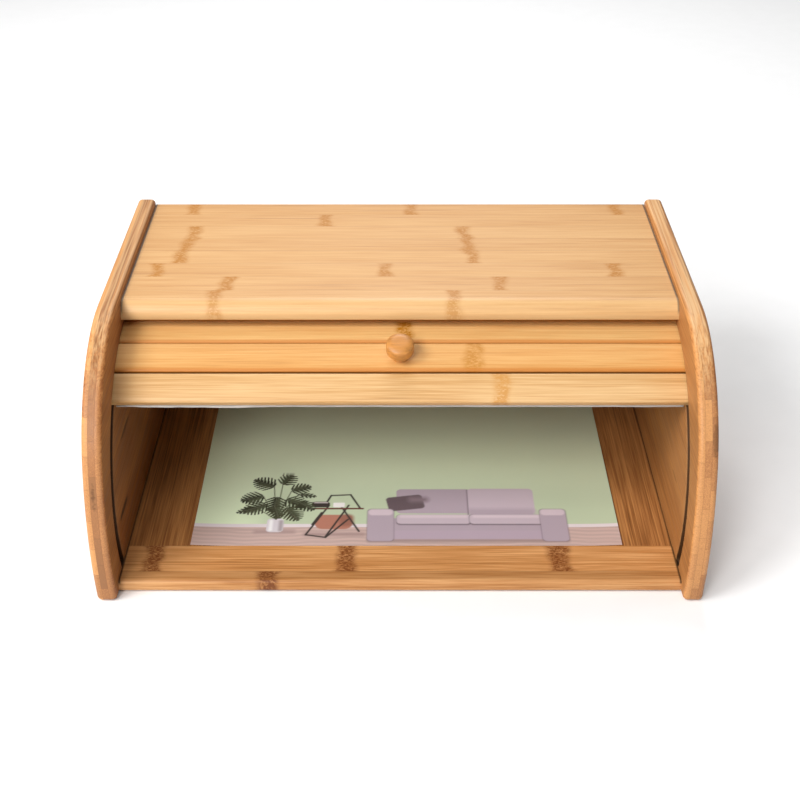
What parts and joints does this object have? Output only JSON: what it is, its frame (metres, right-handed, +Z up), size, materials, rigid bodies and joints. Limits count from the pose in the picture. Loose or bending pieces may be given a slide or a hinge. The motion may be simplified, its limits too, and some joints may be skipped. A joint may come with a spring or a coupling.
{
  "type": "bread box with roll top",
  "caption": "Bamboo bread box with rounded side panels and a slatted roll-top door on a canvas backing that slides in curved grooves.",
  "frame": {"origin": "centre of the footprint on the table, at the underside of the side panels", "axes": "+X across the width, the mouth faces -Y, +Z up"},
  "size_m": [0.4, 0.28, 0.169],
  "materials": {
    "panel_bamboo": "satin",
    "board_bamboo": "satin",
    "floor_bamboo": "satin",
    "lip_bamboo": "satin",
    "rail_bamboo": "satin",
    "slat_bamboo": "satin",
    "knob_wood": "satin",
    "dowel_wood": "matte",
    "screw_steel": "satin",
    "canvas": "woven",
    "printed_card": "matte printed card"
  },
  "bodies": {
    "case": {"side_panel_left": "panel_bamboo", "side_panel_right": "panel_bamboo", "top_board": "board_bamboo", "back_panel": "board_bamboo", "floor_board": "floor_bamboo", "front_lip": "lip_bamboo", "case_screws": "screw_steel", "case_dowels": "dowel_wood", "printed_leaflet": "printed_card"},
    "roll_top": {"bottom_rail": "rail_bamboo", "slat_2": "slat_bamboo", "slat_3": "slat_bamboo", "slat_4": "slat_bamboo", "slat_5": "slat_bamboo", "slat_6": "slat_bamboo", "slat_7": "slat_bamboo", "slat_8": "slat_bamboo", "canvas_backing": "canvas", "knob": "knob_wood", "knob_screw": "screw_steel"}
  },
  "joints": [
    {"name": "roll_top_slide", "type": "hinge", "parent": "case", "child": "roll_top", "pos_m": [0, -0.015, 0.044], "axis": [-1, 0, 0], "range_deg": [-68.5, 9]}
  ]
}
